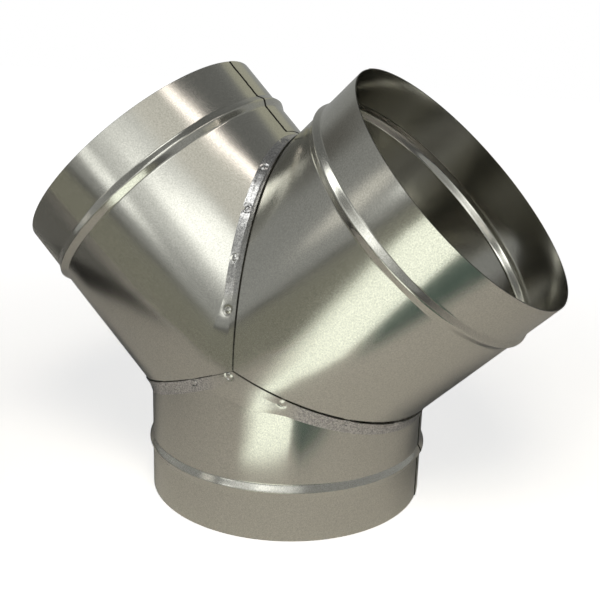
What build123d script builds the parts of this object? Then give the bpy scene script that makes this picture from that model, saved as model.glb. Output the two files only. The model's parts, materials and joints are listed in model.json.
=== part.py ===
from build123d import *

import math
import os

# Equal wye fitting for round ventilation duct, made of three tubes of zinc-coated sheet steel.
# One upright inlet collar parts into two equal branches. The three axes meet in one point.
# Lengths are in millimetres and angles in degrees. Up is +Z, the branches lean to -X and +X,
# and the origin is the middle of the inlet's rim.

# Tubes
spigot_diameter = 199.0  # outside of each plain end, which slides into a 200 mm duct
sheet = 0.7  # thickness of the steel
collar_length = 111.5  # inlet rim to the point where the axes meet
branch_length = 173.0  # the same point to a branch's rim
branch_angle = 45.0  # lean of each branch from the inlet's axis

# Rolled bead that stops the duct
bead_from_rim = 36.5  # rim to the crest of the bead
bead_width = 9.2
bead_height = 2.5
bead_flats = 5  # short straight strips that the round of the bead is made of

# Lapped seams where the tubes meet, measured square to the mitre planes
bend_back = 4.7  # the upper sheet starts to bend this far before the mitre
bend_front = 1.5  # and lies on its neighbour from this far past it
under_setback = 2.0  # the lower sheet ends this far short of the mitre
seam_gap = 0.3  # sealant between two lapped sheets
branch_lap = 5.6  # reach of the left branch's lap over the right branch
collar_lap_left = 6.2  # reach of the collar's lap at the outer side of the left branch
collar_lap_right = 4.4  # the same at the outer side of the right branch
collar_peak = 6.0  # height of the collar's edge where the three sheets meet
edge_gap = 0.4  # slot between the collar's edge and the end of the branch lap

# Lengthwise lap of each rolled tube
lap_step = 0.4  # rise of the outer edge over the tube
ease_angle = 60.0  # over which the step would run out to nothing
ease_stop = 4.0  # short of which the raised sheet ends, a hair above the tube
lap_end_gap = 0.6  # between the end of this lap and the bend of the seam
left_lap_angle = 90.0  # place of the edge, round from the front
right_lap_angle = -90.0
collar_lap_angle = -97.0

radius = spigot_diameter / 2
lean = math.radians(branch_angle)
reach = 4 * radius + branch_length + collar_length  # size of the cutting blocks

toward_left = Vector(-math.sin(lean), 0, math.cos(lean))
toward_right = Vector(math.sin(lean), 0, math.cos(lean))
toward_inlet = Vector(0, 0, -1)
front = Vector(0, -1, 0)


def mitre_normal(own, neighbour):
    """Unit normal of the mitre plane between two tubes, pointing to the neighbour's side."""
    return (neighbour - own).normalized()


left_to_right = mitre_normal(toward_left, toward_right)
collar_to_left = mitre_normal(toward_inlet, toward_left)
collar_to_right = mitre_normal(toward_inlet, toward_right)


def before(normal, distance):
    """Block that fills the near side of a plane set square to a normal."""
    block = Box(reach, reach, reach, align=(Align.CENTER, Align.CENTER, Align.MAX))
    return Plane(origin=normal * distance, z_dir=normal) * block


def past(normal, distance):
    """Block that fills the far side of a plane set square to a normal."""
    return before(normal * -1, -distance)


def wall_section(length, outer_depth, inner_depth):
    """Half section of a beaded tube between two depths below its outside."""
    crest = length - bead_from_rim
    arc_radius = (bead_width**2 / 4 + bead_height**2) / (2 * bead_height)
    arc_centre = radius + bead_height - arc_radius

    def skin(depth):
        """Points of one skin from behind the mitre to the rim, over the bead."""
        skin_radius = radius - depth
        bead_radius = arc_radius - depth
        foot_angle = math.acos((skin_radius - arc_centre) / bead_radius)
        points = [(skin_radius, -2 * radius)]
        for index in range(bead_flats + 1):
            turn = foot_angle * (2 * index / bead_flats - 1)
            points.append((arc_centre + bead_radius * math.cos(turn), crest + bead_radius * math.sin(turn)))
        return points + [(skin_radius, length)]

    outline = skin(outer_depth) + skin(inner_depth)[::-1]
    return Plane.XZ * make_face(Polyline(*outline, close=True))


def tube_frame(axis):
    """Frame of a tube: Z along its axis and X to the front, so that angles start at the front."""
    return Plane(origin=(0, 0, 0), x_dir=front, z_dir=axis)


def plain_tube(axis, length):
    """Beaded tube that runs back past the point where the axes meet."""
    return tube_frame(axis) * revolve(wall_section(length, 0, sheet), Axis.Z)


def lap_layer(axis, length, edge_angle, turn):
    """Outer sheet of a lap, which stands off the tube at its edge and eases back into it.

    The layer is turned about an axis set a little aside, which gives the smooth run-out.
    """
    shift = lap_step / math.sin(math.radians(ease_angle))
    shift_angle = math.radians(edge_angle + turn * (ease_angle - 90))
    offset = Pos(shift * math.cos(shift_angle), shift * math.sin(shift_angle), 0)
    span = ease_angle - ease_stop
    start = edge_angle if turn > 0 else edge_angle - span
    layer = revolve(wall_section(length, 0, (lap_step + sheet) / 2), Axis.Z, span)
    return tube_frame(axis) * offset * Rot(0, 0, start) * layer


def lapped_tube(axis, length, edge_angle, turn, lap_limit):
    """Beaded tube with the raised edge of its lengthwise lap."""
    return plain_tube(axis, length) + (lap_layer(axis, length, edge_angle, turn) & lap_limit)


def ring_cut(axis, normal, distance, cut_radius):
    """Ellipse in which a plane cuts a cylinder about a tube's axis."""
    slope = abs(axis.dot(normal))
    centre = axis * (distance / axis.dot(normal))
    long_way = normal.cross(front)
    return Plane(origin=centre, x_dir=long_way, z_dir=normal) * Ellipse(cut_radius / slope, cut_radius)


def bend_band(own, neighbour, normal):
    """Band of sheet that leads from a tube's own wall out onto its neighbour."""
    skins = []
    for own_radius, far_radius in (
        (radius, radius + seam_gap + sheet),
        (radius - sheet, radius + seam_gap),
    ):
        near = ring_cut(own, normal, -bend_back, own_radius)
        far = ring_cut(neighbour, normal, bend_front, far_radius)
        skins.append(loft([near, far], ruled=True))
    return skins[0] - skins[1]


def flange(neighbour, normal, lap):
    """Rest of the lap, which lies on the neighbour's wall."""
    inside = radius + seam_gap
    length = 4 * radius
    ring = Cylinder(inside + sheet, length) - Cylinder(inside, length)
    return tube_frame(neighbour) * ring & past(normal, bend_front) & before(normal, lap)


def collar_reach(rise):
    """Block under the collar's upper edge, which peaks where the three sheets meet."""
    half_lean = lean / 2
    peak = (branch_lap, collar_peak + rise)

    def outer_point(side, lap):
        """Point of the edge over the outermost line of the collar."""
        x = side * (radius + lap * math.sin(half_lean))
        z = -radius * math.tan(half_lean) + lap * math.cos(half_lean) + rise
        return (x, z)

    def run_out(point):
        """The same edge carried on past the tubes."""
        scale = reach / abs(point[0] - peak[0])
        return tuple(p + (q - p) * scale for p, q in zip(peak, point))

    left = run_out(outer_point(-1, collar_lap_left))
    right = run_out(outer_point(1, collar_lap_right))
    outline = Polyline(peak, right, (right[0], -reach), (left[0], -reach), left, close=True)
    return extrude(Plane.XZ * make_face(outline), amount=reach, both=True)


def inlet_collar():
    """Upright collar, whose lap lies over both branches."""
    halves = []
    lap_end = -bend_back - lap_end_gap
    limit = before(collar_to_left, lap_end) & before(collar_to_right, lap_end)
    wall = lapped_tube(toward_inlet, collar_length, collar_lap_angle, -1, limit)
    for side, branch, normal in ((-1, toward_left, collar_to_left), (1, toward_right, collar_to_right)):
        half = wall & before(normal, -bend_back)
        half = half + bend_band(toward_inlet, branch, normal)
        half = half + flange(branch, normal, 2 * branch_lap)
        halves.append(half & past(Vector(side, 0, 0), 0))
    return (halves[0] + halves[1]) & collar_reach(0)


def left_branch():
    """Left branch, which laps over the right one and ends under the collar."""
    limit = before(left_to_right, -bend_back - lap_end_gap)
    tube = lapped_tube(toward_left, branch_length, left_lap_angle, 1, limit)
    wall = tube & before(left_to_right, -bend_back)
    bend = bend_band(toward_left, toward_right, left_to_right)
    lap = bend + flange(toward_right, left_to_right, branch_lap) - collar_reach(edge_gap)
    tongue = tube & past(left_to_right, -bend_back) & before(left_to_right, -under_setback)
    tongue = tongue & collar_reach(edge_gap)
    return (wall + lap + tongue) & past(collar_to_left, under_setback)


def right_branch():
    """Right branch, whose end lies under both of its neighbours."""
    limit = past(left_to_right, branch_lap + lap_end_gap)
    limit = limit & past(collar_to_right, collar_lap_right + collar_peak)
    tube = lapped_tube(toward_right, branch_length, right_lap_angle, -1, limit)
    return tube & past(left_to_right, under_setback) & past(collar_to_right, under_setback)


os.makedirs("parts", exist_ok=True)
stand = Pos(0, 0, collar_length)
for name, make in (
    ("inlet_collar", inlet_collar),
    ("left_branch", left_branch),
    ("right_branch", right_branch),
):
    piece = stand * make()
    piece.label = name
    export_step(piece, f"parts/{name}.step")
    print(name, "solids", len(piece.solids()), "volume", round(piece.volume, 1))
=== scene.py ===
import json
import logging
import math
from dataclasses import dataclass, field
from enum import Enum
from typing import Callable

import bmesh
import bpy
import numpy as np
from mathutils import Matrix, Vector, noise


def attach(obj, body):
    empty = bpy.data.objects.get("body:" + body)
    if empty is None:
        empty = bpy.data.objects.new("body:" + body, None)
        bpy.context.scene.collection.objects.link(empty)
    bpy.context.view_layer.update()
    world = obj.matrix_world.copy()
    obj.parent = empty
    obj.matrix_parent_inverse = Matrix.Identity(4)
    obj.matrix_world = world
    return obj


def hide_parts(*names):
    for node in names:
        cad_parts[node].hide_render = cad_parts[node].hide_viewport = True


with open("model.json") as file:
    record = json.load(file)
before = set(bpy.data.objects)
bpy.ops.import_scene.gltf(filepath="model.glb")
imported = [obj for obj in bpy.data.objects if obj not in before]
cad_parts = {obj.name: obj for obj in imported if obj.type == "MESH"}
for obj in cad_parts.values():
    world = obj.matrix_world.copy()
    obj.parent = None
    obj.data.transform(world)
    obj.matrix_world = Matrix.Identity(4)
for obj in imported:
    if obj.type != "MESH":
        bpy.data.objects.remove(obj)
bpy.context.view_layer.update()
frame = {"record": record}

logging.basicConfig(level=logging.INFO, format="%(message)s")
log = logging.getLogger("duct_wye")

MM = 0.001  # metres in a millimetre: sizes below are in millimetres, meshes in metres
FRONT = np.array((0.0, -1.0, 0.0))  # the side of the fitting that faces the camera
HEART = Vector((0, 0, 0.16))  # middle of the fitting in metres, which the lamp and the cards face
MERGE = 2e-6  # metres under which two points of a mesh are one
SHARP = 32.0  # degrees over which an edge shades as sharp

AngleAt = Callable[[np.ndarray], np.ndarray]  # angles of a seam's points, by their distances past it


def linear(hex_colour: str) -> tuple[float, float, float, float]:
    """Turn an sRGB hex colour into linear RGBA.

    Args:
        hex_colour: Six hex digits after a hash sign.

    Returns:
        Red, green, blue and an alpha of one, in linear light.
    """
    parts = [int(hex_colour[i : i + 2], 16) / 255 for i in (1, 3, 5)]
    red, green, blue = (p / 12.92 if p <= 0.04045 else ((p + 0.055) / 1.055) ** 2.4 for p in parts)
    return (red, green, blue, 1.0)


def unit(vector: np.ndarray) -> np.ndarray:
    """Scale vectors, held along the last axis of an array, to length one."""
    return vector / np.linalg.norm(vector, axis=-1, keepdims=True)


def smooth_step(values: np.ndarray, low: float, high: float) -> np.ndarray:
    """Ease from 0 at low to 1 at high."""
    share = np.clip((values - low) / (high - low), 0, 1)
    return share * share * (3 - 2 * share)


def fall_off(away: np.ndarray, reach: float, power: int = 2) -> np.ndarray:
    """Ease from 1 in the middle of a mark to nothing some way past its reach."""
    return np.exp(-((away / reach) ** power))


def ripple(points: np.ndarray, wavelength: float, seed: float) -> np.ndarray:
    """Smooth noise from about -1 to 1 at points, held along the last axis."""
    flat = points.reshape(-1, 3) / wavelength + seed
    return np.array([noise.noise(Vector(p)) for p in flat]).reshape(points.shape[:-1])


class Part(Enum):
    """Material place of a face on a tube."""

    SHEET = 0
    # cut edges of bare steel, whose dark material also paints the shade of the gaps beside them and of the
    # lap's groove
    EDGE = 1


class Rolled(Enum):
    """Way in which the marks of the rolling mill run on a tube."""

    ROUND = 0
    ALONG = 1


@dataclass
class Skin:
    """Grid of points that makes a closed sheet once its loops are joined."""

    points: np.ndarray  # array of columns, each a closed loop of points in millimetres
    places: np.ndarray  # material place of the face that follows each point, by column and row
    wrap: bool  # whether the last column joins the first
    across: np.ndarray  # distance along a column's sheet, for the pattern
    around: np.ndarray  # distance round the tube, for the pattern
    worked: np.ndarray  # how much a hammer and a roller have scuffed the sheet, from 0 to 1


@dataclass(frozen=True)
class Bead:
    """Rolled bead that stops the duct: two flat flanks that meet in a narrow round."""

    from_rim: float = 36.5  # distance from the rim to the crest
    width: float = 9.6  # width between the feet of the flanks
    height: float = 2.35  # height of the crest over the tube
    crest: float = 0.45  # size of the round between the flanks
    foot: float = 0.35  # height over which each foot runs out
    room: float = 1.5  # length past each flank that counts as bead, as a share of the foot's

    @property
    def slope(self) -> float:
        """Rise of a flank for each millimetre along the tube."""
        return self.height / (math.hypot(self.width / 2, self.crest) - self.crest)

    @property
    def reach(self) -> float:
        """Distance from the crest to where the bead has run out."""
        return self.width / 2 + self.room * self.foot / self.slope

    def rise(self, from_crest: np.ndarray) -> np.ndarray:
        """Height of the bead.

        Args:
            from_crest: Distances along the tube from the crest.

        Returns:
            Rise over the tube at each distance.
        """
        away = np.hypot(from_crest, self.crest) - self.crest
        flank = self.height - away * self.slope
        blend = np.maximum(self.foot - np.abs(flank), 0) / self.foot
        return np.maximum(flank, 0) + blend**2 * self.foot / 4


@dataclass(frozen=True)
class Fork:
    """Sizes that the three tubes share, in millimetres and degrees."""

    sheet: float = 0.7  # thickness of the steel
    gap: float = 0.3  # room between two lapped sheets
    bend_back: float = 4.7  # start of a seam's bend before the mitre plane
    bend_front: float = 1.5  # end of the bend past the mitre plane
    soft_bend: float = 7.0  # extra length of the bend where the seam has no crease
    crease_round: float = 0.25  # share of a creased bend over which it rounds in
    covered: float = 3.0  # how far before the plane a wall ends under its own lap
    under: float = 2.0  # how far before it the wall ends under a neighbour's lap
    tuck: float = 0.8  # length of a lap's start under the wall's end
    tuck_depth: float = 0.12  # depth of that start under the wall's face
    tuck_rise: float = 0.3  # distance past the wall's end where the lap is level with it
    bevel: float = 0.12  # bevel of a lap's cut edge
    branch_lap: float = 5.6  # reach of the left branch's lap over the right branch
    collar_lap_left: float = 6.2  # reach of the collar's lap at the left branch's outer side
    collar_lap_right: float = 4.4  # the same at the right branch's outer side
    peak: float = 6.0  # height of the collar's edge where the three sheets meet
    slot: float = 0.4  # room between the collar's edge and the end of the branch's lap
    rim_ease: float = 0.25  # length of the rim's rounded corner along the tube
    rim_round: float = 0.22  # depth of that corner across the sheet
    lap_step: float = 0.4  # rise of a tube's lengthwise lap
    lap_ease: float = 60.0  # angle over which that rise runs out
    lap_stop: float = 5.2  # distance of the raised sheet's cut from the tube's end
    lap_drop: float = 0.04  # length over which it drops at that cut
    lap_groove: float = 0.6  # depth of the seaming tool's groove beside the lap
    lap_groove_width: float = 1.7  # width of that groove
    lap_groove_floor: float = 0.3  # width of its flat floor
    lap_groove_shade: float = 1.1  # share of the groove's width whose floor takes the dark edge material as painted shade
    lap_cut: float = 0.8  # share of the rise's angle over which bare steel shows at its cut end
    bead: Bead = Bead()  # the bead of each tube

    @property
    def lift(self) -> float:
        """Height of a lapped sheet's outer face over its neighbour."""
        return self.gap + self.sheet


@dataclass(frozen=True)
class Grid:
    """How finely the sheets are divided."""

    around: int = 360  # even columns round a tube
    # places of close columns beside the lengthwise lap, as shares of its groove
    groove: tuple[float, ...] = (0.0, 0.35, 0.7, 1.0, 1.4, 2.2, 4.0, 7.0)
    spigot: int = 24  # points from the rim to the bead
    bead: int = 33  # points over the bead
    before_bead: float = 0.4  # room in millimetres between those two
    past_bead: float = 0.1  # distance in millimetres by which the bead's points go past it
    body: int = 34  # points from the bead to the cut of the raised lap
    rest: int = 6  # points from there to the wall's end
    bend: int = 14  # points over a seam's bend
    flat: int = 10  # points over the flat part of a seam's lap
    seam: int = 400  # points along a seam on which its spot welds are placed
    start_tries: int = 8  # rounds in which the start of a bend settles
    end_tries: int = 12  # rounds in which the end of the collar's lap settles
    end_guess: float = 5.0  # reach of that lap before the first round, in millimetres
    end_step: float = 0.8  # share of what is missing that each round adds


@dataclass(frozen=True)
class Wave:
    """One layer of a sheet's unevenness."""

    height: float  # height of its rises in millimetres
    length: float  # rough distance from one rise to the next in millimetres
    shift: float  # added to a tube's seed, so that no two layers share a pattern

    def over(self, points: np.ndarray, seed: float) -> np.ndarray:
        """Height of the layer at points, held along the last axis, for a tube's seed."""
        return ripple(points, self.length, seed + self.shift) * self.height


@dataclass(frozen=True)
class Unevenness:
    """How far a tube strays from its true form, in millimetres."""

    # long and short waves of the rolled wall
    sways: tuple[Wave, ...] = (Wave(0.10, 55.0, 0.0), Wave(0.025, 15.0, 4.0))
    calm_rim: float = 20.0  # distance from the rim over which they set in
    calm_seam: tuple[float, float] = (6.0, 22.0)  # distances from the wall's end between which they set in
    calm_lap: float = 0.5  # angle from the lengthwise lap over which they set in, in radians
    jags: tuple[Wave, ...] = (Wave(0.5, 4.0, 0.0), Wave(0.5, 1.5, 2.0))  # waves of that lap's cut edge
    jag_reach: tuple[float, float] = (2.0, 6.0)  # distances from the edge between which the jags die away
    bite: Wave = Wave(0.7, 2.2, 5.0)  # change of the depth and width of the groove beside the edge
    bite_middle: float = 0.8  # share of its size that the groove has without that change
    # marks of the hammer on a seam
    hammered: tuple[Wave, ...] = (Wave(0.12, 6.0, 3.0), Wave(0.07, 2.4, 9.0))
    drawn_out: Wave = Wave(0.10, 1.8, 7.0)  # marks that the seaming roller has drawn out along it
    draw: float = 6.0  # how many times longer than wide those are
    # distances past the wall's end between which a seam's marks set in
    marks_in: tuple[float, float] = (0.2, 1.5)
    scuff_in: float = 0.6  # distance past the bend's start over which its scuffing sets in


@dataclass(frozen=True)
class Dent:
    """Small dent in a tube's wall."""

    angle: float  # place in degrees from the front
    from_rim: float  # distance from the rim
    radius: float
    depth: float  # depth of its middle, below nothing for a bulge


@dataclass(frozen=True)
class Scuff:
    """How much a seam is scuffed, by the sine of the angle from the front."""

    least: float  # scuffing at the front
    # further scuffing, with the sines between which it sets in
    steps: tuple[tuple[float, float, float], ...]

    def share(self, aside: np.ndarray) -> np.ndarray:
        """Scuffing from 0 to 1 at sines of the angle from the front."""
        return self.least + sum(more * smooth_step(aside, low, high) for more, low, high in self.steps)


@dataclass(frozen=True)
class Axis:
    """Centre line of a tube, read from the frame's mount at its open end."""

    along: np.ndarray  # unit vector from the point where the axes meet to the rim
    radius: float  # outside radius in millimetres
    length: float  # distance from that point to the rim in millimetres

    @property
    def side(self) -> np.ndarray:
        """Unit vector a quarter turn from the front."""
        return np.cross(self.along, FRONT)

    def ray(self, angle: np.ndarray) -> np.ndarray:
        """Unit vectors out from the axis at angles, in radians, counted from the front."""
        return np.cos(angle)[..., None] * FRONT + np.sin(angle)[..., None] * self.side


@dataclass(frozen=True)
class Mitre:
    """Plane in which two tubes of equal radius meet."""

    own: Axis  # axis of the tube whose sheet is described
    other: Axis  # axis of its neighbour
    on_top: bool  # whether the own sheet lies over the neighbour's in the seam
    # sines of the angle from the front between which a seam's soft bend turns into a crease
    crease: tuple[float, float] = (0.36, 0.43)
    ease: float = 0.30  # change of the sine over which the bend grows longer before that

    @property
    def normal(self) -> np.ndarray:
        """Unit normal towards the neighbour."""
        return unit(self.other.along - self.own.along)

    @property
    def slope(self) -> float:
        """Share of a step along the own axis that leads away from the plane."""
        return float(abs(self.own.along @ self.normal))

    def own_point(self, angle: np.ndarray, past: np.ndarray, radius: float) -> np.ndarray:
        """Points on a cylinder about the own axis, at angles and at distances past the plane."""
        ray = self.own.ray(angle)
        return self.own.along * ((ray @ self.normal * radius - past) / self.slope)[..., None] + ray * radius

    def other_point(self, angle: np.ndarray, past: np.ndarray, radius: float) -> np.ndarray:
        """Points on a cylinder about the neighbour's axis, by the own tube's mirrored angle."""
        mirrored = self.own_point(angle, -past, radius)
        return mirrored - 2 * (mirrored @ self.normal)[..., None] * self.normal

    def creased(self, angle: np.ndarray) -> np.ndarray:
        """How far the seam's bend is a crease, from 0 to 1."""
        return smooth_step(np.abs(np.sin(angle)), *self.crease)

    def soft_share(self, angle: np.ndarray) -> np.ndarray:
        """Share of the soft bend's extra length, from 0 to 1."""
        first = self.crease[0]
        return 1 - smooth_step(np.abs(np.sin(angle)), first - self.ease, first)

    def meeting(self, angle: np.ndarray) -> np.ndarray:
        """Distance along the own axis at which the tube reaches the plane."""
        return self.own.radius * (self.own.ray(angle) @ self.normal) / self.slope


@dataclass(frozen=True)
class SpotWeld:
    """Print that a pair of electrodes leaves in the sheet."""

    radius: float = 2.35  # radius of the pressed ring
    ring: float = 0.6  # half width of the ring
    depth: float = 0.45  # depth of the ring
    ring_change: float = 0.6  # share by which that depth changes on its way round
    crown: float = 0.3  # rise of the middle
    crown_reach: float = 0.6  # radius of the middle, as a share of the ring's
    dish: float = 0.25  # depth of the shallow dish round it
    dish_reach: float = 1.7  # radius of the dish, as a share of the ring's
    splash: float = 0.16  # unevenness of the metal inside the ring
    splash_length: float = 1.3  # rough distance from one rise of the splash to the next
    splash_edge: int = 4  # power by which the splash falls off at the ring
    far: float = 4.0  # distance at which nothing of the print is left, as a share of the ring's radius

    def relief(self, points: np.ndarray, centres: np.ndarray) -> np.ndarray:
        """Rise or fall of the sheet near the welds.

        Args:
            points: Places on the sheet, held along the last axis.
            centres: Centres of the welds, one in each row.

        Returns:
            Height over the plain sheet, one for each point.
        """
        total = np.zeros(points.shape[:-1])
        for centre in centres:
            away = np.linalg.norm(points - centre, axis=-1)
            near = away < self.far * self.radius
            uneven = np.zeros(away.shape)
            uneven[near] = ripple(points[near], self.splash_length, centre[0])
            ring = fall_off(away - self.radius, self.ring) * (1 + self.ring_change * uneven)
            crown = fall_off(away, self.radius * self.crown_reach)
            dish = fall_off(away, self.radius * self.dish_reach)
            splash = uneven * fall_off(away, self.radius, self.splash_edge)
            total += self.crown * crown - self.depth * ring - self.dish * dish + self.splash * splash
        return total


def weld_places(seam: np.ndarray, first: tuple[float, ...], pitch: float, margin: float) -> np.ndarray:
    """Centres of spot welds along a seam.

    Args:
        seam: Points along the seam.
        first: Distances of the first welds from the seam's beginning.
        pitch: Distance from weld to weld after those.
        margin: Length kept free at the end.

    Returns:
        Centres, one in each row.
    """
    steps = np.linalg.norm(np.diff(seam, axis=0), axis=1)
    travelled = np.concatenate(([0.0], np.cumsum(steps)))
    places = np.concatenate((first, np.arange(first[-1] + pitch, travelled[-1] - margin, pitch)))
    return np.stack([np.interp(places, travelled, seam[:, i]) for i in range(3)], axis=1)


def surface_normals(points: np.ndarray, outward: np.ndarray) -> np.ndarray:
    """Unit normals of a grid of points.

    Args:
        points: Points by column and row.
        outward: Rough outward direction at each point, for the side that the normals take.

    Returns:
        Normals, one for each point.
    """
    tiny = 1e-9
    normal = np.cross(np.gradient(points, axis=0), np.gradient(points, axis=1))
    length = np.linalg.norm(normal, axis=-1, keepdims=True)
    normal = np.where(length > tiny, normal / np.maximum(length, tiny), unit(outward))
    flip = np.sign((normal * outward).sum(axis=-1, keepdims=True))
    return normal * np.where(flip == 0, 1, flip)


def sheet_places(loops: np.ndarray, tip: int) -> np.ndarray:
    """Material places of a sheet whose loops run out, turn back and close.

    Args:
        loops: Points by column and row.
        tip: Row of the last point before the turn.

    Returns:
        Place of the face after each point, a cut edge at the turn and at the loop's end.
    """
    places = np.full(loops.shape[:2], Part.SHEET.value)
    places[:, [tip, tip + 1, tip + 2, -1]] = Part.EDGE.value
    return places


@dataclass
class Tube:
    """One rolled tube of the fitting, with its bead and its lengthwise lap."""

    node: str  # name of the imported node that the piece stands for
    axis: Axis  # centre line of the tube
    fork: Fork  # sizes shared by the tubes
    mitres: tuple[Mitre, Mitre]  # planes to the two neighbours
    lap_angle: float  # place of the lengthwise lap's edge, in degrees from the front
    lap_turn: int  # way round from the edge in which the upper sheet lies
    seed: float  # shift of the unevenness
    rolled: Rolled  # way in which the rolling marks run
    dents: tuple[Dent, ...] = ()
    grid: Grid = Grid()  # fineness of the mesh
    uneven: Unevenness = Unevenness()  # unevenness of the sheet

    def wall_end(self, angle: np.ndarray) -> np.ndarray:
        """Place of the wall's end.

        Args:
            angle: Angles from the front in radians.

        Returns:
            Distance along the axis at which the wall ends, for each angle.
        """
        ends = []
        for mitre in self.mitres:
            setback = self.fork.under
            if mitre.on_top:
                setback = self.fork.covered + self.fork.soft_bend * mitre.soft_share(angle)
            ends.append(mitre.meeting(angle) + setback / mitre.slope)
        return np.maximum(*ends)

    def wall_turns(self) -> np.ndarray:
        """Places of the wall's columns.

        Returns:
            Angles from the lap's edge, in radians, close together at the lap's groove.
        """
        close = np.array(self.grid.groove) * self.fork.lap_groove_width / self.axis.radius
        even = np.linspace(close[-1], 2 * math.pi - close[-1], self.grid.around)
        return np.concatenate((close[:-1], even, 2 * math.pi - close[-2::-1]))

    def wall_rows(self, ends: np.ndarray) -> tuple[np.ndarray, int]:
        """Places of the wall's points along its columns.

        Args:
            ends: Distance from the rim at which each column ends.

        Returns:
            Distances from the rim by column and row, and the first row past the cut of the
            raised lap.
        """
        fork, grid, bead = self.fork, self.grid, self.fork.bead
        past = bead.reach + grid.past_bead
        spigot = np.linspace(fork.rim_ease, bead.from_rim - bead.reach - grid.before_bead, grid.spigot)
        over = bead.from_rim + np.linspace(-past, past, grid.bead)
        stop = (ends - fork.lap_stop)[:, None]
        body = over[-1] + (stop - over[-1]) * np.linspace(0, 1, grid.body)[1:]
        rest = stop + np.linspace(fork.lap_drop, fork.lap_stop, grid.rest)
        fixed = np.tile(np.concatenate((spigot, over)), (len(ends), 1))
        return np.concatenate((fixed, body, rest), axis=1), fixed.shape[1] + body.shape[1]

    def stray(self, points: np.ndarray, share: np.ndarray) -> np.ndarray:
        """How far the wall strays from its true form.

        Args:
            points: Points of the true cylinder.
            share: Share of the waves at each point, from 0 to 1.

        Returns:
            Height over the true form, one for each point.
        """
        height = share * sum(wave.over(points, self.seed) for wave in self.uneven.sways)
        for dent in self.dents:
            ray = self.axis.ray(np.radians(dent.angle))
            middle = self.axis.along * (self.axis.length - dent.from_rim) + ray * self.axis.radius
            away = np.linalg.norm(points - middle, axis=-1)
            height = height - dent.depth * fall_off(away, dent.radius)
        return height

    def wall(self) -> Skin:
        """Rolled wall from under the seam to the rim and back inside.

        Returns:
            The wall as a closed sheet.
        """
        fork, axis, uneven = self.fork, self.axis, self.uneven
        turns = self.wall_turns()
        angle = math.radians(self.lap_angle) + self.lap_turn * turns
        ends = axis.length - self.wall_end(angle)
        from_rim, cut = self.wall_rows(ends)
        from_edge = np.minimum(turns, 2 * math.pi - turns)
        past_edge = (2 * math.pi - turns) * axis.radius

        # The raised edge of the lengthwise lap and the groove beside it, up to the lap's cut end.
        edge_line = axis.along * (axis.length - from_rim[:1, :, None])
        bite = uneven.bite_middle + uneven.bite.over(edge_line, self.seed)
        groove = 1 - smooth_step(past_edge, fork.lap_groove_floor, fork.lap_groove_width)
        ease = math.radians(fork.lap_ease)
        lap = fork.lap_step * np.sin(np.maximum(ease - turns, 0)) / math.sin(ease)
        step = lap[:, None] - fork.lap_groove * groove[:, None] * bite
        step[:, cut:] = 0
        jag = sum(wave.over(edge_line, self.seed) for wave in uneven.jags)
        near_edge = 1 - smooth_step(from_edge * axis.radius, *uneven.jag_reach)
        ray = axis.ray(angle[:, None] + near_edge[:, None] * jag / axis.radius)

        bead_rise = fork.bead.rise(from_rim - fork.bead.from_rim)
        slope = np.gradient(bead_rise, axis=1) / np.gradient(from_rim, axis=1)
        share = smooth_step(from_rim, 0, uneven.calm_rim)
        share = share * smooth_step(ends[:, None] - from_rim, *uneven.calm_seam)
        share = share * smooth_step(from_edge, 0, uneven.calm_lap)[:, None]
        along = axis.along * (axis.length - from_rim)[..., None]
        height = axis.radius + bead_rise + self.stray(along + ray * axis.radius, share)
        outer = along + ray * (height + step)[..., None]
        down = (axis.along * slope[..., None] + ray) / np.sqrt(1 + slope**2)[..., None]
        inner = along + ray * height[..., None] - down * fork.sheet

        rim = axis.along * axis.length + ray[:, :1] * axis.radius
        lips = [rim - ray[:, :1] * deep for deep in (fork.rim_round, fork.sheet - fork.rim_round)]
        count = from_rim.shape[1]
        kept = np.append(np.arange(0, count - 1, 2), count - 1)
        loops = np.concatenate((outer[:, ::-1], *lips, inner[:, kept]), axis=1)

        # Bare steel shows at the lap's cut end and down its edge; the floor of the groove beside it takes the
        # same dark material as painted shade.
        places = sheet_places(loops, count - 1)
        places[-1] = Part.EDGE.value
        places[turns < fork.lap_cut * ease, count - 1 - cut] = Part.EDGE.value
        painted_groove_shade = (past_edge[:, None] < fork.lap_groove_shade * fork.lap_groove_width * bite)[:, ::-1]
        painted_groove_shade[:, : count - cut] = False
        places[:, :count][painted_groove_shade] = Part.EDGE.value
        across = np.concatenate((from_rim[:, ::-1], 0 * from_rim[:, :2], -from_rim[:, kept]), axis=1)
        around = np.tile((turns * axis.radius)[:, None], (1, loops.shape[1]))
        return Skin(loops, places, True, across, around, np.zeros(loops.shape[:2]))

    def strips(self) -> list[Skin]:
        """Lapped strips of the tube's seams, if its sheet lies on top."""
        return []

    def lapped(self, mitre: Mitre, angle_at: AngleAt, reach: np.ndarray) -> np.ndarray:
        """Outer face of the tube's edge, which a bend leads onto the neighbour.

        Args:
            mitre: Plane to the neighbour.
            angle_at: Gives the angles of the points for their distances past the plane.
            reach: Distances past the plane.

        Returns:
            Points, one for each distance.
        """
        fork, rounding = self.fork, self.fork.crease_round
        creased = mitre.creased(angle_at(reach))
        start = fork.bend_back + fork.soft_bend * mitre.soft_share(angle_at(reach))
        back = np.minimum(reach, -start)
        front = np.maximum(reach, fork.bend_front)
        near = mitre.own_point(angle_at(back), back, self.axis.radius)
        far = mitre.other_point(angle_at(front), front, self.axis.radius + fork.lift)
        even = np.clip((reach + start) / (start + fork.bend_front), 0, 1)
        bent = np.where(even < rounding, even**2 / (2 * rounding), even - rounding / 2)
        bent = bent / (1 - rounding / 2)
        share = (smooth_step(even, 0, 1) * (1 - creased) + bent * creased)[..., None]
        return near * (1 - share) + far * share

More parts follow.
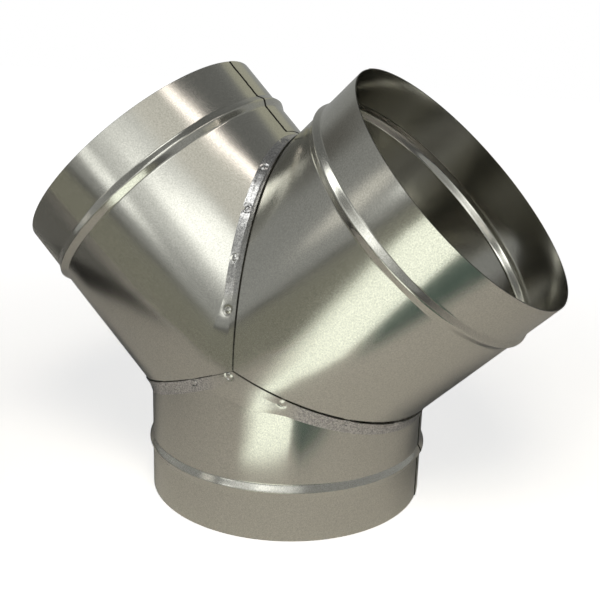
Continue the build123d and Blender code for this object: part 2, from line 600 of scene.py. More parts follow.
    def band_rows(self, mitre: Mitre, angle_at: AngleAt, ends: np.ndarray) -> np.ndarray:
        """Distances past the mitre plane, from under the wall to the end of each column.

        Args:
            mitre: Plane to the neighbour.
            angle_at: Gives the angles of the points for their distances past the plane.
            ends: Distance past the plane at which each column ends.

        Returns:
            Distances by column and row.
        """
        fork, front = self.fork, self.fork.bend_front
        starts = np.full_like(ends, fork.bend_back)
        for _ in range(self.grid.start_tries):
            starts = fork.bend_back + fork.soft_bend * mitre.soft_share(angle_at(-starts))
        hidden = -starts - fork.tuck * np.array((1.0, 0.5))
        bent = -starts + (front + starts) * np.linspace(0, 1, self.grid.bend)
        flat = front + (ends - front) * np.linspace(0, 1, self.grid.flat)[1:]
        return np.concatenate((hidden, bent, flat), axis=1)

    def strip(
        self, mitre: Mitre, angle_at: AngleAt, reach: np.ndarray, welds: np.ndarray, worked: np.ndarray
    ) -> Skin:
        """Edge of the tube, bent out over its neighbour.

        Args:
            mitre: Plane to the neighbour.
            angle_at: Gives the angles of the points for their distances past the plane.
            reach: Distances past the plane, by column and row.
            welds: Centres of the spot welds.
            worked: How much each column is scuffed.

        Returns:
            The strip as a closed sheet.
        """
        fork, uneven = self.fork, self.uneven
        outer = self.lapped(mitre, angle_at, reach)
        outward = outer - self.axis.along * (outer @ self.axis.along)[..., None]
        normal = surface_normals(outer, outward)
        run = angle_at(reach) * self.axis.radius
        past_wall = reach - reach[:, :1] - fork.tuck
        sunk = 1 - smooth_step(past_wall, -fork.tuck, fork.tuck_rise)
        unrolled = np.stack((run / uneven.draw, reach, np.zeros_like(reach)), axis=-1)
        marks = sum(wave.over(outer, self.seed) for wave in uneven.hammered)
        marks = (marks + uneven.drawn_out.over(unrolled, self.seed)) * worked
        marks = (marks + SpotWeld().relief(outer, welds)) * smooth_step(past_wall, *uneven.marks_in)
        outer = outer + normal * (marks - sunk * fork.tuck_depth)[..., None]
        inner = outer - normal * fork.sheet

        tangent = unit(outer[:, -1] - outer[:, -2])
        depths = (fork.bevel, fork.sheet - fork.bevel)
        tips = np.stack([outer[:, -1] - normal[:, -1] * deep for deep in depths], axis=1)
        outer[:, -1] -= tangent * fork.bevel
        inner[:, -1] -= tangent * fork.bevel
        loops = np.concatenate((outer, tips, inner[:, ::-1]), axis=1)
        places = sheet_places(loops, outer.shape[1] - 1)
        across = np.concatenate((reach, reach[:, -1:], reach[:, -1:], reach[:, ::-1]), axis=1)
        around = np.tile(run[:, :1], (1, loops.shape[1]))
        scuffed = worked * smooth_step(across, -fork.bend_back, uneven.scuff_in - fork.bend_back)
        return Skin(loops, places, False, across, around, scuffed)

    def dress(self, looks: dict[Part, bpy.types.Material], origin: np.ndarray) -> bpy.types.Object:
        """Build the piece, give it its finishes and tie it to the frame.

        Args:
            looks: Material for each place.
            origin: Point where the axes meet, in millimetres in the frame.

        Returns:
            The finished piece.
        """
        name = f"{self.node}_sheet"
        mesh = mesh_of_skins(name, [self.wall(), *self.strips()], self.rolled, origin)
        for part in Part:
            mesh.materials.append(looks[part])
        piece = add_object(name, mesh)
        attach(piece, "root")
        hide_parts(self.node)
        log.info("%s: %d faces", piece.name, len(mesh.polygons))
        return piece


def add_object(name: str, data: bpy.types.ID) -> bpy.types.Object:
    """Add an object to the scene.

    Args:
        name: Name of the object.
        data: Its mesh, light or camera.

    Returns:
        The new object.
    """
    thing = bpy.data.objects.new(name, data)
    bpy.context.scene.collection.objects.link(thing)
    return thing


def mesh_of_skins(name: str, skins: list[Skin], rolled: Rolled, origin: np.ndarray) -> bpy.types.Mesh:
    """Join closed sheets into one mesh.

    Its UV map is in metres, with U along the rolling marks.

    Args:
        name: Name of the mesh.
        skins: Sheets to join.
        rolled: Way in which the rolling marks run.
        origin: Shift in millimetres from the sheets' own frame.

    Returns:
        The mesh, smooth but for its sharp edges.
    """
    quads, places, uvs = [], [], []
    base = 0
    for skin in skins:
        columns, rows = skin.points.shape[:2]
        last = columns if skin.wrap else columns - 1
        index = base + np.arange(columns * rows).reshape(columns, rows)
        right = np.roll(index, -1, axis=0)
        corners = (index, np.roll(index, -1, axis=1), np.roll(right, -1, axis=1), right)
        quads.append(np.stack(corners, axis=-1)[:last].reshape(-1, 4))
        places.append(skin.places[:last].reshape(-1))
        ways = (skin.around, skin.across) if rolled is Rolled.ROUND else (skin.across, skin.around)
        uvs.append(np.stack(ways, axis=-1).reshape(-1, 2))
        base += columns * rows
        if skin.wrap:
            continue
        half = rows // 2 - 1
        for ring, turn in ((index[0], 1), (index[-1], -1)):
            cap = [(ring[i], ring[-1 - i], ring[-2 - i], ring[i + 1])[::turn] for i in range(half)]
            quads.append(np.array(cap))
            places.append(np.full(half, Part.EDGE.value))
    vertices = (np.concatenate([skin.points.reshape(-1, 3) for skin in skins]) + origin) * MM
    worked = np.concatenate([skin.worked.reshape(-1) for skin in skins])
    faces = np.concatenate(quads)
    corner_uvs = np.concatenate(uvs)[faces.ravel()] * MM

    mesh = bpy.data.meshes.new(name)
    mesh.vertices.add(len(vertices))
    mesh.vertices.foreach_set("co", vertices.astype(np.float32).ravel())
    mesh.loops.add(faces.size)
    mesh.loops.foreach_set("vertex_index", faces.astype(np.int32).ravel())
    mesh.polygons.add(len(faces))
    mesh.polygons.foreach_set("loop_start", np.arange(0, faces.size, 4, dtype=np.int32))
    mesh.polygons.foreach_set("material_index", np.concatenate(places).astype(np.int32))
    layer = mesh.uv_layers.new(name="sheet")
    layer.data.foreach_set("uv", corner_uvs.astype(np.float32).ravel())
    scuffs = mesh.attributes.new("worked", "FLOAT", "POINT")
    scuffs.data.foreach_set("value", worked.astype(np.float32))
    mesh.update(calc_edges=True)
    mesh.validate()
    shell = bmesh.new()
    shell.from_mesh(mesh)
    bmesh.ops.remove_doubles(shell, verts=shell.verts, dist=MERGE)
    shell.to_mesh(mesh)
    shell.free()
    mesh.polygons.foreach_set("use_smooth", np.ones(len(mesh.polygons), dtype=bool))
    mesh.set_sharp_from_angle(angle=math.radians(SHARP))
    return mesh


@dataclass(frozen=True)
class CollarEdge:
    """Upper edge of the collar, as seen from the front: two straight lines that meet in a peak."""

    fork: Fork  # sizes shared by the tubes
    axis: Axis  # axis of the collar
    lean: float  # angle between the collar and a branch, in radians

    def height(self, sideways: np.ndarray) -> np.ndarray:
        """Height of the edge over the point where the axes meet.

        Args:
            sideways: Distances to the right of that point.

        Returns:
            Height at each distance.
        """
        half_lean = self.lean / 2
        peak_x, peak_z = self.fork.branch_lap, self.fork.peak
        heights = []
        for side, lap in ((-1, self.fork.collar_lap_left), (1, self.fork.collar_lap_right)):
            x = side * (self.axis.radius + lap * math.sin(half_lean))
            z = -self.axis.radius * math.tan(half_lean) + lap * math.cos(half_lean)
            heights.append(peak_z + (sideways - peak_x) * (z - peak_z) / (x - peak_x))
        return np.minimum(*heights)


@dataclass
class LeftBranch(Tube):
    """Left branch, whose lap lies over the right branch."""

    edge: CollarEdge = field(kw_only=True)  # upper edge of the collar, which covers the lap's ends
    columns: int = 560  # columns along the lap
    weld_start: float = 15.2  # distance of the first weld from the top of the fork
    weld_pitch: float = 33.5  # distance from weld to weld
    weld_past: float = -1.0  # distance of the welds past the mitre plane
    weld_span: float = 1.5  # angle from the top of the fork over which welds can lie, in radians
    weld_margin: float = 20.0  # length without a weld at the end of that
    scuff: Scuff = Scuff(0.0, ((0.6, 0.35, 0.40), (0.3, 0.5, 0.75)))  # scuffing of the lap

    def strips(self) -> list[Skin]:
        """Strip over the right branch, from the collar's edge over the fork to the back.

        Returns:
            The one strip.
        """
        fork, lean = self.fork, self.edge.lean
        share = np.linspace(0, 1, self.columns)[:, None]

        def angle_at(reach: np.ndarray) -> np.ndarray:
            """Angles of the columns, which start and end at the collar's edge.

            Args:
                reach: Distances past the mitre plane.

            Returns:
                Angles from the front in radians.
            """
            height = self.edge.height(reach) + fork.slot
            radius = np.where(reach < 0, self.axis.radius, self.axis.radius + fork.lift)
            first = np.arcsin((height - np.abs(reach) / math.tan(lean)) * math.sin(lean) / radius)
            return first + share * (math.pi - 2 * first)

        mitre = self.mitres[0]
        reach = self.band_rows(mitre, angle_at, np.full((len(share), 1), fork.branch_lap))
        worked = self.scuff.share(np.sin(angle_at(0 * share)))
        return [self.strip(mitre, angle_at, reach, self.welds(mitre), worked)]

    def welds(self, mitre: Mitre) -> np.ndarray:
        """Centres of the spot welds on both sides of the fork.

        Args:
            mitre: Plane to the right branch.

        Returns:
            Centres, one in each row.
        """
        centres = []
        past = np.full(self.grid.seam, self.weld_past)
        for turn, start in ((-1, self.weld_start), (1, self.weld_pitch - self.weld_start)):
            angle = math.pi / 2 + np.linspace(0, turn * self.weld_span, self.grid.seam)
            seam = self.lapped(mitre, lambda reach: angle, past)
            centres.append(weld_places(seam, (start,), self.weld_pitch, self.weld_margin))
        return np.concatenate(centres)


@dataclass
class InletCollar(Tube):
    """Upright collar, whose lap lies over both branches."""

    edge: CollarEdge = field(kw_only=True)  # upper edge of the lap
    columns: int = 400  # columns along each half of the lap
    # distances of the first welds from the front, left and right
    first_welds: tuple[tuple[float, ...], tuple[float, ...]] = ((24.6, 58.5), (0.3, 39.0, 84.0))
    # distance from weld to weld after those, left and right
    weld_pitches: tuple[float, float] = (34.0, 44.0)
    # distance of the welds past the mitre plane at the front, left and right
    weld_past: tuple[float, float] = (2.4, 3.9)
    # change of that distance for each millimetre along the seam
    weld_drift: tuple[float, float] = (0.0, -0.006)
    weld_margin: float = 6.0  # length without a weld at the back
    # scuffing of the lap, left and right
    scuffs: tuple[Scuff, Scuff] = (
        Scuff(0.25, ((0.65, 0.03, 0.2),)),
        Scuff(0.1, ((0.75, 0.38, 0.50),)),
    )

    def strips(self) -> list[Skin]:
        """Strips over the left and the right branch, which join at the front and the back."""
        welds = np.concatenate((self.welds(0, 1), self.welds(1, -1)))
        return [self.half_strip(0, 1, welds), self.half_strip(1, -1, welds)]

    def half_strip(self, which: int, turn: int, welds: np.ndarray) -> Skin:
        """Strip over one branch.

        Args:
            which: 0 for the left branch and 1 for the right one.
            turn: Way round in which the strip runs from the front.
            welds: Centres of the spot welds.

        Returns:
            The strip, with its ends on the middle plane.
        """
        mitre, lean = self.mitres[which], self.edge.lean
        radius = self.axis.radius + self.fork.lift
        share = np.linspace(0, 1, self.columns)[:, None]

        def angle_at(reach: np.ndarray) -> np.ndarray:
            """Angles of the columns, which start and end on the middle plane."""
            first = -np.arcsin(np.maximum(reach, 0) * math.sin(lean) / math.cos(lean / 2) / radius)
            return turn * (first + share * (math.pi - 2 * first))

        ends = np.full((len(share), 1), self.grid.end_guess)
        for _ in range(self.grid.end_tries):
            tip = mitre.other_point(angle_at(ends), ends, radius)
            short = self.edge.height(tip[..., 0]) - tip[..., 2]
            ends = ends + short * math.cos(lean / 2) * self.grid.end_step
        reach = self.band_rows(mitre, angle_at, ends)
        worked = self.scuffs[which].share(np.abs(np.sin(angle_at(0 * ends))))
        return self.strip(mitre, angle_at, reach, welds, worked)

    def welds(self, which: int, turn: int) -> np.ndarray:
        """Centres of the spot welds on one side.

        Args:
            which: 0 for the left branch and 1 for the right one.
            turn: Way round in which the seam runs from the front.

        Returns:
            Centres, one in each row.
        """
        angle = np.linspace(0, turn * math.pi, 2 * self.grid.seam)
        run = np.abs(angle) * self.axis.radius
        past = np.maximum(self.weld_past[which] + self.weld_drift[which] * run, 0)
        seam = self.lapped(self.mitres[which], lambda reach: angle, past)
        return weld_places(seam, self.first_welds[which], self.weld_pitches[which], self.weld_margin)


def clear_tree(owner: bpy.types.Material | bpy.types.World) -> bpy.types.NodeTree:
    """Turn on the nodes of a material or a world and take them all away.

    Args:
        owner: The material or world.

    Returns:
        Its empty tree.
    """
    owner.use_nodes = True
    owner.node_tree.nodes.clear()
    return owner.node_tree


def add_node(
    tree: bpy.types.NodeTree, kind: str, settings: dict[str, object] | None = None,
    links: dict[str | int, bpy.types.Node | bpy.types.NodeSocket | None] | None = None,
) -> bpy.types.Node:
    """Add a node to a tree.

    Args:
        tree: Tree to add to.
        kind: Blender's name of the node type without its ShaderNode.
        settings: Values by property name, by input name or number after "in:", or a ramp's
            places and colours under "stops".
        links: Sockets to link in by input name or number, or nodes for their first output, or
            None for no link.

    Returns:
        The new node.
    """
    node = tree.nodes.new(f"ShaderNode{kind}")
    for key, value in (settings or {}).items():
        if key.startswith("in:"):
            name = key[3:]
            node.inputs[int(name) if name.isdigit() else name].default_value = value
        elif key == "stops":
            elements = node.color_ramp.elements
            for place, _ in value[2:]:
                elements.new(place)
            for element, (place, colour) in zip(elements, value):
                element.position, element.color = place, colour
        else:
            setattr(node, key, value)
    for key, source in (links or {}).items():
        if source is not None:
            socket = source.outputs[0] if isinstance(source, bpy.types.Node) else source
            tree.links.new(socket, node.inputs[key])
    return node


@dataclass(frozen=True)
class ZincSheet:
    """Cold-rolled steel sheet, hot-dip coated with zinc and skin-passed.

    The rolls leave fine marks along the sheet, so a mirrored light stays sharp along them and
    spreads across them. The zinc's crystals show as a faint grain. Where a hammer and a roller
    have worked the sheet down over its neighbour, the zinc is scuffed and speckled.
    """

    name: str = "galvanised_sheet"
    bright: str = "#dedcd5"  # colour of the clean zinc
    dull: str = "#c2c1ba"  # colour where it has begun to dull
    # noise values at which the zinc is wholly dull and wholly bright
    tones: tuple[float, float] = (0.3, 0.7)
    rubbed: str = "#e6e4e4"  # colour of the bright spots of a worked seam
    scuffed: str = "#a3a2a6"  # colour of the scuffed zinc between them
    # noise values at which a seam is wholly scuffed and wholly rubbed
    seam_tones: tuple[float, float] = (0.38, 0.6)
    roughness: float = 0.13  # middle roughness
    patchiness: float = 0.02  # change of the roughness in the duller patches
    mark_roughness: float = 0.04  # roughness that the rolling marks add
    scuffing: float = 0.14  # roughness that the working adds
    brushing: float = 0.72  # strength of the one-way roughness
    brush_turn: float = 0.25  # turn from the UV map's U to the marks, as the shader counts it
    # spacing of the rolling marks in millimetres, about three times the real one so that they show
    roll_mark: float = 0.5
    mark_length: float = 12.0  # length of a mark in millimetres
    mark_depth: float = 0.003  # depth of the marks in millimetres
    crystal: float = 0.9  # width of the zinc's crystals in millimetres
    crystal_depth: float = 0.0018  # depth of the hollows between them in millimetres
    cloud: float = 45.0  # width of the duller patches in millimetres
    detail: float = 2.0  # finer layers in the patterns, of which the marks have one more
    fineness: float = 0.6  # strength of each finer layer beside the one before
    speckle: float = 1.1  # width of a worked seam's speckles in millimetres
    speckle_depth: float = 0.05  # depth of the speckles in millimetres

    def build(self) -> bpy.types.Material:
        """Make the material.

        Returns:
            The new material.
        """
        material = bpy.data.materials.new(self.name)
        tree = clear_tree(material)
        sheet = add_node(tree, "UVMap", {"uv_map": "sheet"})
        place = add_node(tree, "TexCoord").outputs["Object"]
        worked = add_node(tree, "Attribute", {"attribute_name": "worked"}).outputs["Fac"]
        size = (1 / self.mark_length, 1 / self.roll_mark, 1)
        stretch = add_node(tree, "Mapping", {"in:Scale": size}, {"Vector": sheet})
        marks, crystals, cloud, speckle = (
            add_node(
                tree, "TexNoise",
                {"in:Scale": 1 / (width * MM), "in:Detail": detail, "in:Roughness": self.fineness},
                {"Vector": where},
            )
            for width, detail, where in (
                (1.0, self.detail + 1, stretch), (self.crystal, self.detail, place),
                (self.cloud, self.detail, place), (self.speckle, self.detail, place),
            )
        )

        zinc, seam = (
            add_node(tree, "ValToRGB", {"stops": list(zip(tones, map(linear, colours)))}, {"Fac": pattern})
            for tones, colours, pattern in (
                (self.tones, (self.dull, self.bright), crystals),
                (self.seam_tones, (self.scuffed, self.rubbed), speckle),
            )
        )
        colour = add_node(tree, "Mix", {"data_type": "RGBA"}, {0: worked, 6: zinc, 7: seam}).outputs[2]

        rough = add_node(
            tree, "MapRange",
            {"in:From Min": self.tones[0], "in:From Max": self.tones[1],
             "in:To Min": self.roughness - self.patchiness, "in:To Max": self.roughness + self.patchiness},
            {"Value": cloud},
        )
        for pattern, more in ((marks, self.mark_roughness), (worked, self.scuffing)):
            settings = {"operation": "MULTIPLY_ADD", "in:1": more}
            rough = add_node(tree, "Math", settings, {0: pattern, 2: rough})
        settings = {"operation": "MULTIPLY_ADD", "in:1": -self.brushing, "in:2": self.brushing}
        brushing = add_node(tree, "Math", settings, {0: worked})

        relief = None
        for depth, links in (
            (self.mark_depth, {"Height": marks}),
            (self.crystal_depth, {"Height": crystals}),
            (self.speckle_depth, {"Height": speckle, "Strength": worked}),
        ):
            relief = add_node(tree, "Bump", {"in:Distance": depth * MM}, links | {"Normal": relief})
        tangent = add_node(tree, "Tangent", {"direction_type": "UV_MAP", "uv_map": "sheet"})
        shader = add_node(
            tree, "BsdfPrincipled",
            {"in:Metallic": 1.0, "in:Anisotropic Rotation": self.brush_turn},
            {"Base Color": colour, "Roughness": rough, "Normal": relief, "Tangent": tangent,
             "Anisotropic": brushing},
        )
        add_node(tree, "OutputMaterial", links={"Surface": shader})
        return material


@dataclass(frozen=True)
class ShearedEdgeAndShade:
    """Cut edge of the sheet, bare steel from the shears.

    It is dull beside the zinc, and the shears leave fine lines over it. Its dark tone also paints the shade
    of the narrow gap beside each cut edge, and the shade on the floor of the lap's groove.
    """

    name: str = "sheared_steel_edge"
    bright: str = "#706e69"  # colour of the burnished part of the cut
    dull: str = "#33322f"  # colour of the rough fracture of the cut, dark enough to paint the shade of the gap beside the edge
    # noise values at which the cut is wholly torn and wholly burnished
    tones: tuple[float, float] = (0.35, 0.65)
    roughness: float = 0.45
    tear: float = 0.6  # spacing of the shear's lines in millimetres
    detail: float = 2.0  # finer layers in the lines

    def build(self) -> bpy.types.Material:
        """Make the material.

        Returns:
            The new material.
        """
        material = bpy.data.materials.new(self.name)
        tree = clear_tree(material)
        place = add_node(tree, "TexCoord").outputs["Object"]
        lines = add_node(
            tree, "TexNoise", {"in:Scale": 1 / (self.tear * MM), "in:Detail": self.detail},
            {"Vector": place},
        )
        stops = list(zip(self.tones, map(linear, (self.dull, self.bright))))
        colour = add_node(tree, "ValToRGB", {"stops": stops}, {"Fac": lines})
        shader = add_node(
            tree, "BsdfPrincipled", {"in:Metallic": 1.0, "in:Roughness": self.roughness},
            {"Base Color": colour},
        )
        add_node(tree, "OutputMaterial", links={"Surface": shader})
        return material


def toward(azimuth: float, elevation: float) -> Vector:
    """Unit vector at an azimuth, counted from the front to the right, and an elevation, in degrees."""
    across, up = math.radians(azimuth), math.radians(elevation)
    return Vector((math.cos(up) * math.sin(across), -math.cos(up) * math.cos(across), math.sin(up)))


def stage_for_mirrors(name: str, mesh: bpy.types.Mesh) -> bpy.types.Object:
    """Add a thing of the studio that only the metal mirrors.

    Args:
        name: Name of the thing.
        mesh: Its mesh.

    Returns:
        The new object.
    """
    thing = add_object(name, mesh)
    for ray in ("camera", "diffuse", "shadow", "transmission"):
        setattr(thing, f"visible_{ray}", False)
    return thing


@dataclass(frozen=True)
class Card:
    """Flat card or cloth that only the metal mirrors."""

    name: str
    # corners in metres: near left, near right, far right, far left
    corners: tuple[Vector, Vector, Vector, Vector]
    colour: str  # colour of its light
    strength: float  # strength of its light, where 1 is white
    # share over which its light fades in, at the left, the right, the near and the far side
    soft: tuple[float, float, float, float]

    @classmethod
    def aimed(
        cls, name: str, place: tuple[float, float], spread: tuple[float, float], slant: float,
        colour: str, strength: float, soft: float, distance: float,
    ) -> "Card":
        """Card that hangs in a direction and faces the fitting.

        Args:
            name: Name of the card.
            place: Azimuth and elevation of its middle in degrees.
            spread: Width and height in degrees.
            slant: Turn of its width from level in degrees.
            colour: Colour of its light.
            strength: Strength of its light.
            soft: Share of the card over which each side fades in.
            distance: Distance in metres.

        Returns:
            The card.
        """
        away = toward(*place)
        level = away.cross(Vector((0, 0, 1))).normalized() * -1
        turn = Matrix.Rotation(math.radians(slant), 3, away)
        half_wide, half_high = (distance * math.tan(math.radians(s) / 2) for s in spread)
        wide, high = turn @ level * half_wide, turn @ away.cross(level) * half_high
        middle = HEART + away * distance
        corners = (middle - wide - high, middle + wide - high, middle + wide + high, middle - wide + high)
        return cls(name, corners, colour, strength, (soft,) * 4)

    @classmethod
    def laid(
        cls, name: str, layer: int, places: tuple[tuple[float, float], ...], colour: str,
        strength: float, soft: tuple[float, float, float, float],
    ) -> "Card":
        """Card that lies on the floor, its corners in metres, over the cards of lower layers."""
        corners = tuple(Vector((x, y, layer * MM)) for x, y in places)
        return cls(name, corners, colour, strength, soft)

    def build(self) -> bpy.types.Object:
        """Make the card.

        Returns:
            The new object.
        """
        mesh = bpy.data.meshes.new(self.name)
        mesh.from_pydata(self.corners, [], [(0, 1, 2, 3)])
        layer = mesh.uv_layers.new(name="card")
        for loop, place in zip(layer.data, ((0, 0), (1, 0), (1, 1), (0, 1))):
            loop.uv = place
        material = bpy.data.materials.new(self.name)
        tree = clear_tree(material)
        place = add_node(tree, "UVMap", {"uv_map": "card"})
        split = add_node(tree, "SeparateXYZ", links={0: place})
        hard = 0.002  # a fade of no width at all would leave the card dark
        left, right, near, far = (max(share, hard) for share in self.soft)
        cover = None
        for way, start, end in (("X", 0, left), ("X", 1, 1 - right), ("Y", 0, near), ("Y", 1, 1 - far)):
            fade = add_node(
                tree, "MapRange",
                {"interpolation_type": "SMOOTHSTEP", "in:From Min": start, "in:From Max": end},
                {"Value": split.outputs[way]},
            )
            cover = add_node(tree, "Math", {"operation": "MULTIPLY", "in:1": 1.0}, {0: fade, 1: cover})
        glow = add_node(tree, "Emission", {"in:Color": linear(self.colour), "in:Strength": self.strength})
        clear = add_node(tree, "BsdfTransparent")
        mix = add_node(tree, "MixShader", links={0: cover, 1: clear, 2: glow})
        add_node(tree, "OutputMaterial", links={"Surface": mix})
        mesh.materials.append(material)
        return stage_for_mirrors(self.name, mesh)


@dataclass(frozen=True)
class Tent:
    """Grey cloth tent round the fitting, brighter near the floor than overhead."""

    radius: float = 5.0  # radius in metres
    foot: float = -4.0  # elevation of its lower edge in degrees
    rings: int = 12  # rings of faces from there to the top
    slices: int = 32  # faces in a ring
    colour: str = "#fdfffb"  # colour of the cloth
    # pairs of an elevation in degrees and the strength of the light there
    levels: tuple[tuple[float, float], ...] = ((0, 0.36), (20, 0.30), (35, 0.27), (50, 0.18), (80, 0.15))

    def build(self) -> bpy.types.Object:
        """Make the tent as a dome of quads.

        Returns:
            The new object.
        """
        points = [
            self.radius * toward(360 * column / self.slices, self.foot + (90 - self.foot) * ring / self.rings)
            for ring in range(self.rings + 1)
            for column in range(self.slices)
        ]
        faces = []
        for row in range(0, self.rings * self.slices, self.slices):
            for column in range(self.slices):
                here, following = row + column, row + (column + 1) % self.slices
                faces.append((here, following, following + self.slices, here + self.slices))
        mesh = bpy.data.meshes.new("tent")
        mesh.from_pydata(points, [], faces)
        material = bpy.data.materials.new("tent_cloth")
        tree = clear_tree(material)
        place = add_node(tree, "TexCoord").outputs["Object"]
        height = add_node(tree, "SeparateXYZ", links={0: place}).outputs["Z"]
        share = add_node(tree, "Math", {"operation": "DIVIDE", "in:1": self.radius}, {0: height})
        stops = [(math.sin(math.radians(e)), (v, v, v, 1.0)) for e, v in self.levels]
        light = add_node(tree, "ValToRGB", {"stops": stops}, {"Fac": share})
        glow = add_node(tree, "Emission", {"in:Color": linear(self.colour)}, {"Strength": light})
        add_node(tree, "OutputMaterial", links={"Surface": glow})
        mesh.materials.append(material)
        return stage_for_mirrors("tent", mesh)


@dataclass(frozen=True)
class Studio:
    """Floor, lamp, cards and camera."""

    camera_azimuth: float = 23.54  # place of the camera round the fitting, in degrees from the front
    camera_elevation: float = 16.37  # its height angle in degrees
    camera_roll: float = 1.81  # its tilt in degrees
    camera_distance: float = 0.6959  # its distance from the target in metres
    target: tuple[float, float, float] = (0.00736, 0.0, 0.13954)  # point that it looks at, in metres
    lens: float = 57.92  # focal length in millimetres
    sensor: float = 36.0  # width of its sensor in millimetres
    floor_half: float = 4.0  # half the width of the floor in metres
    floor_paint: str = "#f4f3f0"  # colour of the floor
    floor_lift: float = 0.72  # light that the camera adds to the floor near the fitting
    # distances in metres from the fitting between which that grows to white
    floor_fade: tuple[float, float] = (0.35, 1.0)
    lamp_place: tuple[float, float] = (30.0, 50.0)  # azimuth and elevation of the soft box in degrees
    lamp_distance: float = 0.8  # its distance in metres
    lamp_size: float = 0.35  # its width and height in metres
    lamp_strength: float = 8.4  # strength of its face
    lamp_colour: str = "#fff7e9"  # colour of its light
    room_light: float = 0.09  # strength of the even light from all sides
    room_colour: str = "#fafcff"  # colour of that light

    def build(self) -> None:
        """Make the whole studio."""
        self.build_camera()
        self.build_floor()
        self.build_lamp()
        self.build_cards()
        self.build_world()
        bpy.context.scene.view_settings.view_transform = "Standard"

    def build_camera(self) -> None:
        """Place the camera where the photograph was taken from."""
        away = toward(self.camera_azimuth, self.camera_elevation)
        right = Vector((0, 0, 1)).cross(away).normalized()
        up = away.cross(right)
        turn = Matrix.Rotation(math.radians(self.camera_roll), 3, away)
        place = Matrix((turn @ right, turn @ up, away)).transposed().to_4x4()
        place.translation = Vector(self.target) + away * self.camera_distance
        data = bpy.data.cameras.new("camera")
        data.lens = self.lens
        data.sensor_width = self.sensor
        camera = add_object("camera", data)
        camera.matrix_world = place
        bpy.context.scene.camera = camera

    def build_floor(self) -> None:
        """Pale floor, which the camera sees as white with the fitting's soft shadow on it."""
        half = self.floor_half
        corners = [(-half, -half, 0), (half, -half, 0), (half, half, 0), (-half, half, 0)]
        mesh = bpy.data.meshes.new("floor")
        mesh.from_pydata(corners, [], [(0, 1, 2, 3)])
        material = bpy.data.materials.new("painted_floor")
        tree = clear_tree(material)
        paint = add_node(tree, "BsdfDiffuse", {"in:Color": linear(self.floor_paint)})
        seen = add_node(tree, "LightPath").outputs["Is Camera Ray"]
        place = add_node(tree, "TexCoord").outputs["Object"]
        away = add_node(tree, "VectorMath", {"operation": "LENGTH"}, {0: place}).outputs["Value"]
        more = add_node(
            tree, "MapRange",
            {"in:From Min": self.floor_fade[0], "in:From Max": self.floor_fade[1],
             "in:To Min": self.floor_lift, "in:To Max": 1.0},
            {"Value": away},
        )
        lift = add_node(tree, "Math", {"operation": "MULTIPLY"}, {0: seen, 1: more})
        white = add_node(tree, "Emission", {"in:Color": (1, 1, 1, 1)}, {"Strength": lift})
        both = add_node(tree, "AddShader", links={0: paint, 1: white})
        add_node(tree, "OutputMaterial", links={"Surface": both})
        mesh.materials.append(material)
        add_object("floor", mesh)

    def build_lamp(self) -> None:
        """Soft box in front of the fitting, which lights the floor; its mirror image is a card."""
        data = bpy.data.lights.new("front_soft_box", "AREA")
        data.size = self.lamp_size
        data.energy = self.lamp_strength * math.pi * self.lamp_size**2
        data.color = linear(self.lamp_colour)[:3]
        lamp = add_object("front_soft_box", data)
        away = toward(*self.lamp_place)
        lamp.location = HEART + away * self.lamp_distance
        lamp.rotation_euler = away.to_track_quat("Z", "Y").to_euler()
        lamp.visible_glossy = False

    def build_cards(self) -> None:
        """Tent, and the bright and dark cards that the metal mirrors."""
        white, warm, green, mint = "#fdfffb", "#fff6ef", "#f6fbec", "#d5fdea"
        grey, olive = "#efede4", "#fffee7"
        cards = [
            Card.aimed("key_glow", (8, 27), (66, 46), 0, white, 0.85, 0.28, 1.45),
            Card.aimed("key_card", (14.5, 28), (42, 18), 27, white, 1.8, 0.3, 1.25),
            Card.aimed("low_card", (-20, 10), (18, 14), 0, white, 1.5, 0.4, 1.2),
            Card.aimed("window_card", (-38, 13), (18, 15), 0, grey, 0.95, 0.4, 1.2),
            Card.aimed("far_window_card", (-76, 7), (20, 9), 10, grey, 0.7, 0.4, 1.2),
            Card.aimed("high_strip", (79, 61.3), (42, 6), -27, warm, 3.2, 0.25, 1.25),
            Card.aimed("ceiling_card", (45, 50), (64, 36), 0, grey, 0.88, 0.22, 1.6),
            Card.aimed("second_lamp", (-32, 60), (21, 39), 0, white, 2.9, 0.35, 1.3),
            Card.aimed("back_card", (168, 30), (64, 34), 0, olive, 0.42, 0.3, 1.6),
            Card.aimed("dim_card_left", (-95, 28), (50, 16), 0, grey, 0.15, 0.4, 1.6),
            Card.laid(
                "front_field", 1, ((-0.265, -0.34), (0.60, -0.24), (2.2, -3.4), (-3.4, -1.0)),
                olive, 0.24, (0.0, 0.0, 0.03, 0.02),
            ),
            Card.laid(
                "left_field", 1, ((-0.240, -0.35), (-0.44, 0.13), (-3.2, 0.9), (-3.2, -1.2)),
                grey, 0.16, (0.1, 0.1, 0.01, 0.02),
            ),
            Card.laid(
                "table_shadow", 2, ((-0.222, -0.38), (-0.37, 0.06), (-0.50, 0.06), (-0.30, -0.38)),
                warm, 0.015, (0.3, 0.3, 0.15, 0.4),
            ),
            Card.laid(
                "dark_patch", 2, ((0.10, -0.16), (0.44, -0.13), (0.60, -0.60), (0.09, -0.26)),
                mint, 0.12, (0.08, 0.1, 0.12, 0.0),
            ),
            Card.laid(
                "bounce_card", 3, ((-0.036, -0.20), (0.090, -0.20), (0.80, -1.1), (-0.172, -1.1)),
                green, 1.5, (0.1, 0.015, 0.015, 0.3),
            ),
        ]
        Tent().build()
        for card in cards:
            card.build()

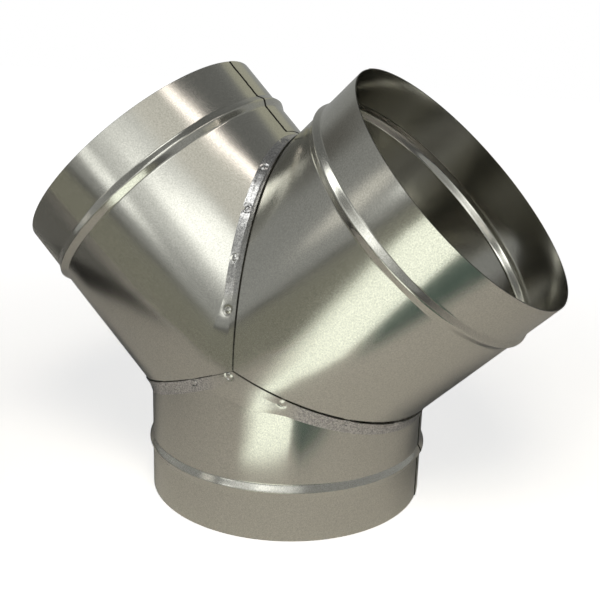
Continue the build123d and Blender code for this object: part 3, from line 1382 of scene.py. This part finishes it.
    def build_world(self) -> None:
        """White background, with a plain even light for the rest."""
        world = bpy.data.worlds.new("studio")
        bpy.context.scene.world = world
        tree = clear_tree(world)
        white, room = (
            add_node(tree, "Background", {"in:Color": colour, "in:Strength": strength})
            for colour, strength in (((1, 1, 1, 1), 1.0), (linear(self.room_colour), self.room_light))
        )
        path = add_node(tree, "LightPath")
        seen = path.outputs["Is Camera Ray"]
        for ray in ("Is Glossy Ray", "Is Transmission Ray"):
            seen = add_node(tree, "Math", {"operation": "MAXIMUM"}, {0: seen, 1: path.outputs[ray]})
        mix = add_node(tree, "MixShader", links={0: seen, 1: room, 2: white})
        add_node(tree, "OutputWorld", links={"Surface": mix})


def rim_at(mount_name: str) -> tuple[np.ndarray, np.ndarray, float]:
    """Middle of a tube's rim, its outward direction and the outside radius, from the mount there."""
    mount = next(m for m in frame["record"]["mounts"] if m["name"] == mount_name)
    return np.array(mount["pos_m"]) / MM, unit(np.array(mount["axis"])), mount["dims"]["r_mm"]


def axis_of(mount_name: str, junction: np.ndarray) -> Axis:
    """Axis of the tube with a mount, from the point in millimetres where the axes meet."""
    rim, along, radius = rim_at(mount_name)
    return Axis(along, radius, float(np.linalg.norm(rim - junction)))


def junction_point() -> np.ndarray:
    """Point where the three axes meet, in millimetres."""
    rim, along, _ = rim_at("left_spigot")
    return rim - along * rim[0] / along[0]


def main() -> None:
    """Build the fitting and the studio."""
    fork = Fork()
    origin = junction_point()
    inlet, left, right = (axis_of(f"{end}_spigot", origin) for end in ("inlet", "left", "right"))
    edge = CollarEdge(fork, inlet, math.atan2(abs(left.along[0]), left.along[2]))
    looks = {Part.SHEET: ZincSheet().build(), Part.EDGE: ShearedEdgeAndShade().build()}
    tubes: list[Tube] = [
        InletCollar(
            "inlet_collar", inlet, fork,
            (Mitre(inlet, left, True, (0.15, 0.24), 0.15), Mitre(inlet, right, True, (0.42, 0.50))),
            lap_angle=-97.0, lap_turn=-1, seed=11.0, rolled=Rolled.ROUND, edge=edge,
            dents=(Dent(-12.0, 96.0, 3.5, 0.10), Dent(-15.5, 91.0, 4.0, -0.06), Dent(-46.0, 47.0, 1.2, 0.12)),
        ),
        LeftBranch(
            "left_branch", left, fork, (Mitre(left, right, True), Mitre(left, inlet, False)),
            lap_angle=90.0, lap_turn=1, seed=23.0, rolled=Rolled.ROUND, edge=edge,
        ),
        Tube(
            "right_branch", right, fork, (Mitre(right, left, False), Mitre(right, inlet, False)),
            lap_angle=-90.0, lap_turn=-1, seed=37.0, rolled=Rolled.ALONG,
            dents=(Dent(-41.0, 80.0, 2.0, 0.16), Dent(-43.5, 74.5, 1.6, 0.12), Dent(20.0, 136.0, 4.5, 0.08)),
        ),
    ]
    for tube in tubes:
        tube.dress(looks, origin)
    Studio().build()


if __name__ == "__main__":
    main()
